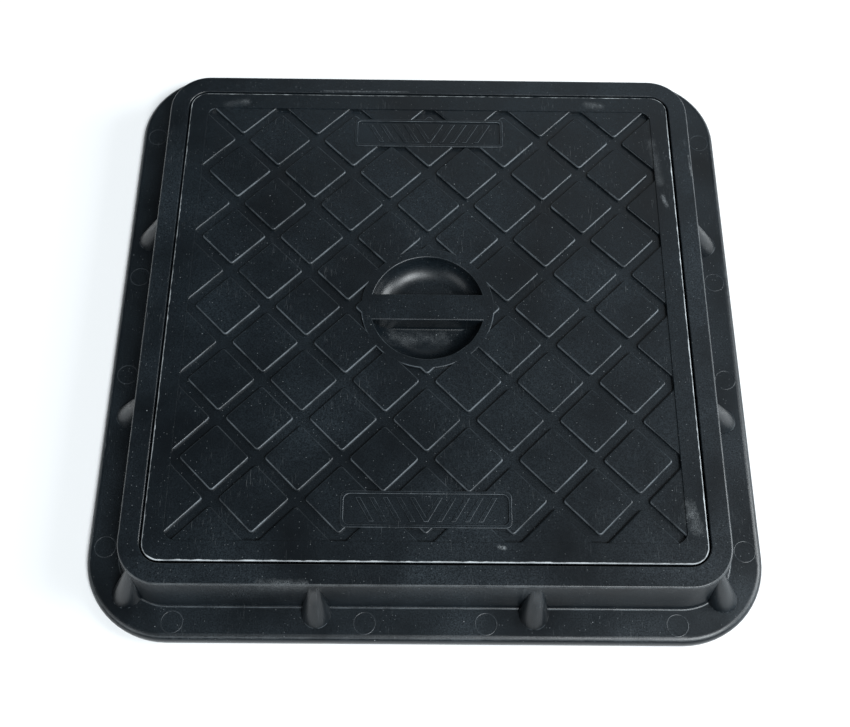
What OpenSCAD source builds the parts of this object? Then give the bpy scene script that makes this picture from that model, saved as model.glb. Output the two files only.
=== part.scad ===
// Square access cover: a moulded frame and the lift-off lid that drops into it.
// Units mm, +Z up. Origin: centre of the frame's underside. Front is -Y.

/* [Lid] */
// Side of the square lid
lid_w = 450; // [400:1:600]
// Depth of the lid from its top face to the seat it rests on
lid_depth = 26; // [24:1:34]
// Outer corner radius of the lid
lid_corner_r = 15; // [12:1:20]
// Rounding of the lid's top edge
lid_edge_r = 1.2; // [0.6:0.1:2]
// Thickness of the lid's top plate and of its skirt
plate_t = 7; // [6:0.5:8]
// Width of the plain border round the pattern
border_w = 16.5; // [12:0.5:24]
// Corner radius of the pattern field
field_r = 10; // [6:1:14]

/* [Tread pattern] */
// Whole diamonds along one side
diamonds = 6; // [4:2:8]
// Width of a groove between two pads
groove_w = 8; // [6:0.5:11]
// Depth of a groove below the pads
groove_depth = 3; // [1:0.25:3.5]
// Step from the border down to the pads
field_step = 0.8; // [0.4:0.1:1.2]
// Corner radius of a pad
pad_r = 3; // [1:0.5:5]

/* [Name panels] */
// Length of a blank panel
panel_l = 138; // [110:1:160]
// Height of a blank panel
panel_h = 30.5; // [24:0.5:32]
// Distance from the edge of the field to the centre of a panel
panel_inset = 26.5; // [22:0.5:32]
// Width of a panel's raised rim
panel_rim = 2.6; // [1.5:0.1:4]
// Depth of a panel's floor below its rim
panel_depth = 1.4; // [0.8:0.1:2]
// Corner radius of the back panel
panel_back_r = 2.8; // [1:0.2:6]
// Corner radius of the front panel
panel_front_r = 5; // [1:0.2:6]
// Height of the grip strokes above a panel's floor
hatch_h = 0.7; // [0.3:0.1:0.8]
// Width of a grip stroke
hatch_w = 3.4; // [2:0.2:5]
// Spacing of the grip strokes
hatch_pitch = 11; // [8:0.5:16]
// Slant of the grip strokes
hatch_lean = 30; // [0:5:40]
// Clear margin between the strokes and the panel's rim
hatch_edge = 2.6; // [1:0.2:4]

/* [Dish and grip bar] */
// Diameter of the dish at its rim
dish_d = 99; // [90:1:110]
// Depth of the dish
dish_depth = 18; // [14:0.5:18.5]
// Width of the grip bar across the dish
bar_w = 25; // [20:0.5:30]
// Width of the plain collar round the dish
collar_w = 8.5; // [6:0.5:12]
// Wall thickness of the dish and the bar
dish_t = 3.5; // [2.5:0.5:4]

/* [Lid underside] */
// Thickness of a stiffening rib
rib_t = 3; // [2:0.5:5]
// Distance the ribs stop short of the seat
rib_clear = 2; // [1:0.5:4]
// Wall thickness of the skirt
skirt_t = 5; // [4:0.5:7]

/* [Frame] */
// Clearance between the lid and the frame, each side
gap = 2; // [1:0.5:4]
// Width of the frame's top face
rim_w = 17; // [14:0.5:24]
// Outer corner radius at the top of the frame
rim_corner_r = 35; // [30:1:50]
// Rounding of the frame's top outer edge
rim_edge_r = 2; // [1:0.5:3]
// Height of the frame wall above the flange
wall_h = 42; // [36:1:60]
// How far the drafted wall leans out from top to foot
wall_lean = 7; // [3:0.5:10]
// Wall thickness of the frame
frame_t = 5; // [4:0.5:6]
// Width of the seat that carries the lid
seat_w = 18; // [12:1:22]
// Corner radius of the clear opening
opening_r = 16; // [10:1:18]

/* [Flange] */
// Width of the flange beyond the foot of the wall
flange_w = 29; // [24:1:45]
// Thickness of the flange
flange_t = 10; // [8:1:14]
// Rounding of the flange's top outer edge
flange_edge_r = 6; // [3:0.5:7]

/* [Gussets] */
// Radius of a gusset at its foot
gusset_r = 12; // [9:0.5:14]
// Distance of a side gusset from the middle of its side
gusset_x = 88; // [70:1:110]
// Distance of a side gusset's foot beyond the foot of the wall
gusset_out = 4.5; // [3:0.5:7]
// Radius of a side gusset at its top
gusset_tip_r = 4.5; // [3:0.5:6]
// Distance of a side gusset's top below the top of the frame
gusset_drop = 4; // [4:0.5:10]
// Distance of a corner gusset's foot beyond the foot of the wall
corner_out = 4; // [2:0.5:7]
// Radius of a corner gusset at its top
corner_tip_r = 3; // [2:0.5:5]
// Distance of a corner gusset's top below the top of the frame
corner_drop = 2; // [2:0.5:6]
// Webs inside each side of the frame
webs = 6; // [4:2:8]
// Thickness of a web
web_t = 4; // [3:0.5:5]

/* [Hidden] */
$fn = 72;
black = [0.12, 0.13, 0.14];

eps = 0.01;
over = 1;                                   // how far a cut runs past a face

height = flange_t + wall_h;                 // top of the frame and of the lid
seat_z = height - lid_depth;
lid_half = lid_w / 2;
field_half = lid_half - border_w;
pitch = 2 * field_half / diamonds;          // one diamond of the tread
pad_z = height - field_step;                // top of the pads, the collar and the bar
plate_z = height - plate_t;                 // underside of the plate

mouth_half = lid_half + gap;                // frame, inside the top face
rim_half = mouth_half + rim_w;              // frame, outside the top face
core = rim_half - rim_corner_r;             // centre line of the frame's corners
mouth_r = mouth_half - core;
foot_r = rim_corner_r + wall_lean;
flange_r = foot_r + flange_w;
opening_half = mouth_half - seat_w;

dish_r = dish_d / 2;
collar_r = dish_r + collar_w;
floor_r = dish_r - dish_depth;              // flat floor inside the quarter-round wall
panel_y = field_half - panel_inset;
root = flange_t / 2;                        // how far a gusset is sunk into the flange
tip_sink = rim_edge_r / 2;                  // how far a side gusset's top is sunk into the wall
seat_t = frame_t;                           // thickness of the seat ledge

// ---- shared shapes ----

module round_square(half, r) {
  square([2 * half, 2 * (half - r)], center = true);
  square([2 * (half - r), 2 * half], center = true);
  for (sx = [-1, 1], sy = [-1, 1])
    translate([sx * (half - r), sy * (half - r)]) circle(r);
}

module round_rect(l, h, r) {
  square([l, h - 2 * r], center = true);
  square([l - 2 * r, h], center = true);
  for (sx = [-1, 1], sy = [-1, 1])
    translate([sx * (l / 2 - r), sy * (h / 2 - r)]) circle(r);
}

// A square body whose edge follows a 2D profile (child), out from the corner centre line.
module profile_square(centre, top) {
  for (sx = [-1, 1], sy = [-1, 1])
    translate([sx * centre, sy * centre, 0]) rotate_extrude() children();
  for (a = [0, 90])
    rotate([0, 0, a]) rotate([90, 0, 0]) linear_extrude(2 * centre, center = true) {
      translate([-centre, 0]) square([2 * centre, top]);
      for (s = [0, 1]) mirror([s, 0]) translate([centre, 0]) children();
    }
}

// ---- frame ----

// Outside of the frame: drafted wall with a rounded top edge, and the flange below it.
module frame_profile() {
  slant = sqrt(wall_h * wall_h + wall_lean * wall_lean);
  nx = wall_h / slant;
  nz = wall_lean / slant;
  cz = height - rim_edge_r;
  cx = rim_corner_r + rim_edge_r * wall_lean / wall_h - rim_edge_r / nx;
  polygon([[0, 0], [foot_r, 0], [foot_r, flange_t],
           [cx + rim_edge_r * nx, cz + rim_edge_r * nz], [cx, height], [0, height]]);
  translate([cx, cz]) intersection() {
    circle(rim_edge_r);
    square(rim_edge_r + over);
  }
  square([flange_r - flange_edge_r, flange_t]);
  square([flange_r, flange_t - flange_edge_r]);
  translate([flange_r - flange_edge_r, flange_t - flange_edge_r]) intersection() {
    circle(flange_edge_r);
    square(flange_edge_r + over);
  }
}

// Hollow inside the frame wall, open underneath.
module hollow_profile() {
  polygon([[0, 0], [foot_r - frame_t, 0], [foot_r - frame_t, flange_t],
           [rim_corner_r - frame_t, height - frame_t], [0, height - frame_t]]);
}

module frame_hollow() {
  difference() {
    profile_square(core, height - frame_t) hollow_profile();
    translate([0, 0, seat_z - seat_t]) linear_extrude(height)
      round_square(mouth_half + frame_t, mouth_r + frame_t);
    translate([0, 0, -over]) linear_extrude(height)
      round_square(opening_half + frame_t, opening_r + frame_t);
    for (i = [0 : webs - 1], a = [0, 90])
      rotate([0, 0, a]) translate([(i - (webs - 1) / 2) * 2 * core / webs, 0, height / 2])
        cube([web_t, 2 * (core + flange_r), height + 2 * over], center = true);
    for (a = [45, 135])
      rotate([0, 0, a]) translate([0, 0, height / 2])
        cube([web_t, 4 * core, height + 2 * over], center = true);
  }
}

// Cone that leans to -X against the wall: its foot is on the origin, its top is sunk in the wall.
module gusset(reach, rise, tip_r) {
  lean = atan(reach / rise);
  axis = rise / cos(lean);
  spread = (gusset_r - tip_r) / axis * flange_t;
  intersection() {
    rotate([0, -lean, 0]) translate([0, 0, -flange_t])
      cylinder(h = axis + flange_t, r1 = gusset_r + spread, r2 = tip_r);
    translate([-foot_r, -foot_r, -root]) cube([2 * foot_r, 2 * foot_r, wall_h + root]);
  }
}

module frame_gussets() {
  side_reach = wall_lean + gusset_out + gusset_tip_r + tip_sink;
  corner_reach = wall_lean + corner_out + corner_tip_r;
  for (a = [0 : 90 : 270]) rotate([0, 0, a]) {
    for (s = [-1, 1])
      translate([core + foot_r + gusset_out, s * gusset_x, flange_t])
        gusset(side_reach, wall_h - gusset_drop, gusset_tip_r);
    translate([core, core, flange_t]) rotate([0, 0, 45])
      translate([foot_r + corner_out, 0, 0]) gusset(corner_reach, wall_h - corner_drop, corner_tip_r);
  }
}

module frame() {
  color(black) difference() {
    union() {
      profile_square(core, height) frame_profile();
      frame_gussets();
    }
    translate([0, 0, seat_z]) linear_extrude(height) round_square(mouth_half, mouth_r);
    translate([0, 0, -over]) linear_extrude(height) round_square(opening_half, opening_r);
    frame_hollow();
  }
}

// ---- lid ----

module lid_profile() {
  r = lid_corner_r;
  translate([0, seat_z]) square([r - lid_edge_r, lid_depth]);
  translate([0, seat_z]) square([r, lid_depth - lid_edge_r]);
  translate([r - lid_edge_r, height - lid_edge_r]) intersection() {
    circle(lid_edge_r);
    square(lid_edge_r + over);
  }
}

module lid_body() {
  difference() {
    profile_square(lid_half - lid_corner_r, height) lid_profile();
    translate([0, 0, -over]) linear_extrude(seat_z + over) square(lid_w, center = true);
  }
}

// Diamond pads over the whole field, centred so that a groove crossing lies under the dish.
module pads() {
  pad_half = (pitch / sqrt(2) - groove_w) / 2;
  n = diamonds / 2;
  for (i = [-2 * n : 2 * n], j = [-2 * n : 2 * n])
    if ((i + j) % 2 != 0)
      translate([i * pitch / 2, j * pitch / 2]) rotate(45) round_square(pad_half, pad_r);
}

module panels(grow = 0) {
  for (s = [-1, 1])
    translate([0, s * panel_y])
      round_rect(panel_l + 2 * grow, panel_h + 2 * grow, s < 0 ? panel_front_r : panel_back_r);
}

module grooves() {
  difference() {
    round_square(field_half, field_r);
    pads();
    circle(collar_r);
    panels();
  }
}

// Slanted grip strokes, mirrored about the middle of the panel.
module hatch() {
  l = panel_l - 2 * (panel_rim + hatch_edge);
  h = panel_h - 2 * (panel_rim + hatch_edge);
  for (s = [-1, 1]) translate([0, s * panel_y]) intersection() {
    square([l, h], center = true);
    for (m = [0, 1], i = [0 : floor((l - h * tan(hatch_lean)) / 2 / hatch_pitch) - 1])
      mirror([m, 0]) translate([(i + 0.5) * hatch_pitch, 0]) rotate(-hatch_lean)
        square([hatch_w, 2 * h], center = true);
  }
}

// Solid of revolution: flat floor, quarter-round wall.
module bowl(r, depth, top) {
  translate([0, 0, top]) rotate_extrude() {
    translate([0, -depth]) square([r - depth, depth]);
    translate([r - depth, 0]) intersection() {
      circle(depth);
      translate([0, -depth]) square(depth);
    }
  }
}

module bar_block(w, top) {
  translate([-dish_d, -w / 2, seat_z]) cube([2 * dish_d, w, top - seat_z]);
}

module ribs() {
  span = 2 * (lid_half - skirt_t) + skirt_t;
  for (a = [0, 90], i = [0 : diamonds - 1])
    rotate([0, 0, a]) translate([(i - (diamonds - 1) / 2) * pitch, 0, (seat_z + rib_clear + plate_z) / 2])
      cube([rib_t, span, plate_z - seat_z - rib_clear + 2 * eps], center = true);
}

module lid() {
  color(black) difference() {
    union() {
      difference() {
        lid_body();
        translate([0, 0, seat_z - over]) linear_extrude(lid_depth - plate_t + over)
          round_square(lid_half - skirt_t, lid_corner_r - skirt_t);
      }
      difference() {
        ribs();
        bowl(dish_r, dish_depth, pad_z);
      }
      bowl(dish_r + dish_t, dish_depth + dish_t, pad_z);
    }
    // tread
    translate([0, 0, pad_z]) linear_extrude(field_step + over) difference() {
      round_square(field_half, field_r);
      panels();
    }
    translate([0, 0, pad_z - groove_depth]) linear_extrude(groove_depth + eps) grooves();
    // panels
    translate([0, 0, height - panel_depth]) linear_extrude(panel_depth + over) difference() {
      panels(-panel_rim);
      hatch();
    }
    translate([0, 0, height - panel_depth + hatch_h]) linear_extrude(panel_depth + over) hatch();
    // two halves of the dish, and the hollow up inside the bar
    difference() {
      bowl(dish_r, dish_depth, pad_z);
      bar_block(bar_w, height);
    }
    intersection() {
      bowl(dish_r - dish_t, dish_depth + 2 * dish_t, pad_z - dish_t);
      bar_block(bar_w - 2 * dish_t, pad_z - dish_t);
    }
  }
}

frame();
lid();
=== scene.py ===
"""Looks for the square access cover: the moulded frame, the lid and the studio round them."""

import logging
import math
from dataclasses import dataclass
from enum import Enum
from typing import Callable, Dict, List, Sequence, Tuple, Union

import bmesh
import bpy
from mathutils import Matrix, Vector


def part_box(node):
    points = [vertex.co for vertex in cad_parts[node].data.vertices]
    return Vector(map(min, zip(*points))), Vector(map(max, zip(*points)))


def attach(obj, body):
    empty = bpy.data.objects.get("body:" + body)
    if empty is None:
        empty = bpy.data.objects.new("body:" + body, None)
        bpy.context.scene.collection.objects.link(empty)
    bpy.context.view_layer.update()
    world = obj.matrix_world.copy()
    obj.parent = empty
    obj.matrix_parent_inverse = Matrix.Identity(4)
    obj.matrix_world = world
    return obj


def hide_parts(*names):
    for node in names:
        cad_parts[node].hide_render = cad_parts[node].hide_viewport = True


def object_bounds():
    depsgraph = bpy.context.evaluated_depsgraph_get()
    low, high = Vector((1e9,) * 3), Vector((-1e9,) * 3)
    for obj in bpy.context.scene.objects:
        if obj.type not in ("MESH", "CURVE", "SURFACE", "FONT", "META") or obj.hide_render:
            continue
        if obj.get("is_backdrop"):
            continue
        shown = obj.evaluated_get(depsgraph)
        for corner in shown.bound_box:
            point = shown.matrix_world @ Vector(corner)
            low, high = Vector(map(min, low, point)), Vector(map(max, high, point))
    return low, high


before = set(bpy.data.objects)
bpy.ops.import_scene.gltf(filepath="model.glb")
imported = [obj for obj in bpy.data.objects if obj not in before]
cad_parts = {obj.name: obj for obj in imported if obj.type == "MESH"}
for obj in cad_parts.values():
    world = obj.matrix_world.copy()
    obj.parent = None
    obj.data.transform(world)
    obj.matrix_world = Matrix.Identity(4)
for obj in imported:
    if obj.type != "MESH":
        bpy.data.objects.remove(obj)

log = logging.getLogger("cover")

MM = 0.001
TOL = 2e-5  # how close a point has to be to count as on a line or at a height
FAR = 1000.0  # further than any point of the object
SMOOTH_BELOW = math.radians(32)  # faces that meet at less than this are shaded as one
Piece = bpy.types.Object
Tree = bpy.types.NodeTree
Socket = bpy.types.NodeSocket
Outputs = bpy.types.bpy_prop_collection
Spot = Tuple[float, float]  # a point in plan, or another pair of sizes
Place = Tuple[float, float, float]


class Side(Enum):
    """Which way round a boolean works."""

    ADD = "UNION"
    CUT = "DIFFERENCE"
    KEEP = "INTERSECT"


class Kind(Enum):
    """What a selection is made of."""

    FACE = "faces"
    EDGE = "edges"


# ---------------------------------------------------------------- modelling helpers


def write_box(name: str, box: Tuple[Vector, Vector], table: Dict[str, List[List[float]]]) -> None:
    """Stores one box in the size table as plain lists, in metres."""
    table[name] = [[float(v) for v in corner] for corner in box]


def only(piece: Piece) -> Piece:
    """Makes one object the selected and active one.

    Args:
        piece: the object to work on.

    Returns:
        The same object.
    """
    if bpy.context.object and bpy.context.object.mode != "OBJECT":
        bpy.ops.object.mode_set(mode="OBJECT")
    bpy.ops.object.select_all(action="DESELECT")
    piece.select_set(True)
    bpy.context.view_layer.objects.active = piece
    return piece


def bake(piece: Piece) -> Piece:
    """Stores an object's place, turn and scale in its mesh.

    Args:
        piece: the object.

    Returns:
        The same object.
    """
    only(piece)
    bpy.ops.object.transform_apply(location=True, rotation=True, scale=True)
    return piece


def begin(name: str) -> Piece:
    """Names the primitive just added and opens it for editing with its place in its mesh.

    Args:
        name: the object's name.

    Returns:
        The new object, in edit mode with everything selected.
    """
    piece = bake(bpy.context.object)
    piece.name = piece.data.name = name
    bpy.ops.object.mode_set(mode="EDIT")
    bpy.ops.mesh.select_all(action="SELECT")
    return piece


def edit(piece: Piece) -> bmesh.types.BMesh:
    """Opens an object for editing.

    Args:
        piece: the object.

    Returns:
        Its edit mesh, for reading places and choosing what is selected.
    """
    if bpy.context.object != piece or piece.mode != "EDIT":
        only(piece)
        bpy.ops.object.mode_set(mode="EDIT")
    return bmesh.from_edit_mesh(piece.data)


def done(piece: Piece) -> Piece:
    """Leaves edit mode and gives the same object back."""
    bpy.ops.object.mode_set(mode="OBJECT")
    return piece


def pick(piece: Piece, kind: Kind, test: Callable[..., bool]) -> None:
    """Selects the faces or edges that pass a test, and no others.

    Args:
        piece: the object.
        kind: faces or edges.
        test: says whether one of them is wanted.
    """
    mesh = edit(piece)
    bpy.ops.mesh.select_mode(type=kind.name)
    bpy.ops.mesh.select_all(action="DESELECT")
    for part in [p for p in getattr(mesh, kind.value) if test(p)]:
        part.select_set(True)
    bmesh.update_edit_mesh(piece.data)


def middle(e: bmesh.types.BMEdge) -> Vector:
    """Middle point of an edge."""
    return (e.verts[0].co + e.verts[1].co) / 2


def at_height(e: bmesh.types.BMEdge, z: float) -> bool:
    """Whether both ends of an edge are at a height."""
    return all(abs(v.co.z - z) < TOL for v in e.verts)


def upright(e: bmesh.types.BMEdge) -> bool:
    """Whether an edge stands straight up."""
    a, b = (v.co for v in e.verts)
    return (a - b).xy.length < TOL and abs(a.z - b.z) > TOL


def beside_wall(e: bmesh.types.BMEdge) -> bool:
    """Whether an upright face meets this edge."""
    return any(abs(f.normal.z) < 0.1 for f in e.link_faces)


def round_edges(offset: float, segments: int) -> None:
    """Rounds the selected edges to a radius in metres, with so many faces round the curve."""
    bpy.ops.mesh.bevel(offset=offset, segments=segments, affect="EDGES", clamp_overlap=False)


def extrude(z: float, grow: float = 1.0, centre: Spot = (0.0, 0.0)) -> None:
    """Extrudes the selection straight up or down, then scales it in plan.

    Args:
        z: how far, in metres.
        grow: scale of the far end in plan.
        centre: the point it scales about, in plan.
    """
    bpy.ops.mesh.extrude_region_move(TRANSFORM_OT_translate={"value": (0, 0, z)})
    if grow != 1.0:
        spread(grow, centre)


def spread(grow: float, centre: Spot = (0.0, 0.0)) -> None:
    """Scales the selection in plan about a point."""
    bpy.ops.transform.resize(value=(grow, grow, 1), center_override=(centre[0], centre[1], 0))


def inset(inward: float, rise: float = 0.0) -> None:
    """Insets the selected faces by a width and moves them out along their normal by a rise."""
    bpy.ops.mesh.inset(thickness=inward, depth=rise, use_even_offset=True)


def turn_outward(piece: Piece) -> Piece:
    """Merges doubles, points every face outward and leaves edit mode.

    Args:
        piece: a closed object.

    Returns:
        The same object.
    """
    edit(piece)
    bpy.ops.mesh.select_all(action="SELECT")
    bpy.ops.mesh.remove_doubles(threshold=1e-6)
    bpy.ops.mesh.normals_make_consistent(inside=False)
    return done(piece)


def block(name: str, size: Spot, low: float, high: float, place: Spot = (0, 0), turn: float = 0.0) -> Piece:
    """A rectangular block, left in edit mode with everything selected.

    Args:
        name: the object's name.
        size: length along its own X and Y, in metres.
        low: height of its bottom.
        high: height of its top.
        place: its middle, in plan.
        turn: angle about +Z, in radians.

    Returns:
        The block.
    """
    bpy.ops.object.select_all(action="DESELECT")
    bpy.ops.mesh.primitive_cube_add(size=1, location=(*place, (low + high) / 2))
    bpy.context.object.scale = (*size, high - low)
    bpy.context.object.rotation_euler = (0, 0, turn)
    return begin(name)


def rounded_block(name: str, size: Spot, low: float, high: float, radius: float, segments: int = 8) -> Piece:
    """A rectangular block on the upright axis with rounded upright corners, left in edit mode.

    Args:
        name: the object's name.
        size: length along X and Y, in metres.
        low: height of its bottom.
        high: height of its top.
        radius: corner radius in plan.
        segments: faces round a corner.

    Returns:
        The block.
    """
    piece = block(name, size, low, high)
    pick(piece, Kind.EDGE, upright)
    round_edges(radius, segments)
    return piece


def turned(name: str, levels: Sequence[Spot], place: Spot = (0, 0), sides: int = 64) -> Piece:
    """A round closed solid, grown from its bottom disc by extruding and scaling.

    Args:
        name: the object's name.
        levels: (radius, height) pairs from bottom to top, in metres.
        place: its axis, in plan.
        sides: faces round it.

    Returns:
        The solid, in object mode.
    """
    bpy.ops.object.select_all(action="DESELECT")
    radius, z = levels[0]
    bpy.ops.mesh.primitive_circle_add(
        vertices=sides, radius=radius, fill_type="NGON", location=(place[0], place[1], z)
    )
    piece = begin(name)
    for r, h in levels[1:]:
        extrude(h - z, r / radius, place)
        radius, z = r, h
    return turn_outward(piece)


def combine(piece: Piece, tool: Piece, side: Side, crossing: bool = False) -> None:
    """Adds a tool to a piece, cuts it out or keeps only what lies in it, and removes the tool.

    Args:
        piece: the object that stays.
        tool: the object that is used up.
        side: add, cut or keep.
        crossing: whether the tool's own parts cross each other.
    """
    only(piece)
    step = piece.modifiers.new("combine", "BOOLEAN")
    step.operation = side.value
    step.solver = "EXACT"
    step.use_self = crossing
    step.object = tool
    bpy.ops.object.modifier_apply(modifier=step.name)
    bpy.data.objects.remove(tool, do_unlink=True)


def copy_of(piece: Piece, name: str) -> Piece:
    """Copies a piece with its own mesh.

    Args:
        piece: what to copy.
        name: the copy's name.

    Returns:
        The copy.
    """
    only(piece)
    bpy.ops.object.duplicate(linked=False)
    copy = bpy.context.object
    copy.name = copy.data.name = name
    return copy


def settle(piece: Piece, shift: Place = (0, 0, 0), turn: float = 0.0) -> Piece:
    """Turns a piece about the upright axis through the origin, shifts it, and stores that in its mesh.

    Args:
        piece: the object.
        shift: how far it moves after the turn, in metres.
        turn: angle about +Z, in radians.

    Returns:
        The same object.
    """
    piece.rotation_euler = (0, 0, turn)
    piece.location = shift
    return bake(piece)


def join(pieces: Sequence[Piece]) -> Piece:
    """Joins pieces into the first one.

    Args:
        pieces: the objects.

    Returns:
        The joined object.
    """
    only(pieces[0])
    for p in pieces[1:]:
        p.select_set(True)
    bpy.ops.object.join()
    return pieces[0]


def moulding(piece: Piece, name: str, share: Callable[[Vector, Vector], float]) -> Piece:
    """Names and shades a finished piece, and stores on each face how far it is painted pale: wear from
    handling, and on the lid painted highlights on edges that face the front.

    Args:
        piece: the object.
        name: its name.
        share: gives 0 to 1 for a face's centre and normal.

    Returns:
        The same object.
    """
    piece.name = piece.data.name = name
    only(piece)
    bpy.ops.object.shade_smooth_by_angle(angle=SMOOTH_BELOW)
    step = piece.modifiers.new("flats", "WEIGHTED_NORMAL")
    step.keep_sharp = True
    bpy.ops.object.modifier_apply(modifier=step.name)
    # each face's share of pale grey: wear, and on the lid painted highlights on the edges that face the front
    rubbed = piece.data.attributes.new("rubbed", "FLOAT", "FACE")
    for face in piece.data.polygons:
        rubbed.data[face.index].value = share(face.center, face.normal)
    return piece


# ---------------------------------------------------------------- finishes


def colour(code: str) -> Tuple[float, float, float, float]:
    """Turns an sRGB hex colour to linear light.

    Args:
        code: such as "#1e2224".

    Returns:
        Red, green, blue and alpha.
    """
    parts = [int(code[i : i + 2], 16) / 255 for i in (1, 3, 5)]
    light = [c / 12.92 if c <= 0.04045 else ((c + 0.055) / 1.055) ** 2.4 for c in parts]
    return (light[0], light[1], light[2], 1.0)


def node(tree: Tree, kind: str, links: Dict[Union[str, int], object], **settings: object) -> Outputs:
    """Adds one shader node with its settings, values and links.

    Args:
        tree: the material's node tree.
        kind: the node's type, without the words every shader node starts with.
        links: socket name or number to a value or to another node's output.
        settings: attributes of the node, such as an operation.

    Returns:
        Its outputs.
    """
    made = tree.nodes.new("ShaderNode" + kind)
    for key, value in settings.items():
        setattr(made, key, value)
    for key, value in links.items():
        socket = made.inputs[key]
        if isinstance(value, Socket):
            tree.links.new(value, socket)
        else:
            socket.default_value = value
    return made.outputs


@dataclass(frozen=True)
class Patches:
    """Soft random patches of one size: noise stretched between two of its levels."""

    size: float
    detail: float
    low: float
    high: float
    least: float = 0.0
    most: float = 1.0

    def mask(self, tree: Tree, place: Socket) -> Socket:
        """Adds the patches.

        Args:
            tree: the node tree.
            place: the coordinates.

        Returns:
            The mask.
        """
        links = {"Vector": place, "Scale": 1 / self.size, "Detail": self.detail}
        noise = node(tree, "TexNoise", links)[0]
        links = {"Value": noise, "From Min": self.low, "From Max": self.high}
        links |= {"To Min": self.least, "To Max": self.most}
        return node(tree, "MapRange", links)[0]


@dataclass(frozen=True)
class PaleEdge:
    """A rounded-square outline painted pale: wear on the lid's rim, a painted highlight along the frame's top
    edge and flange edge.
    """

    half: float
    radius: float
    low: float
    high: float
    width: float
    strength: float
    ragged: float = 6 * MM
    fade: float = 0.3 * MM


@dataclass(frozen=True)
class PaleSmear:
    """A pale smear about a line: mostly scuffs where something was dragged across the plastic, and two
    painted highlights.
    """

    start: Spot
    end: Spot
    width: float
    strength: float
    bent: float = 2.5 * MM
    sway: float = 1.2
    soft: Spot = (0.4, -0.9)


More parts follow.
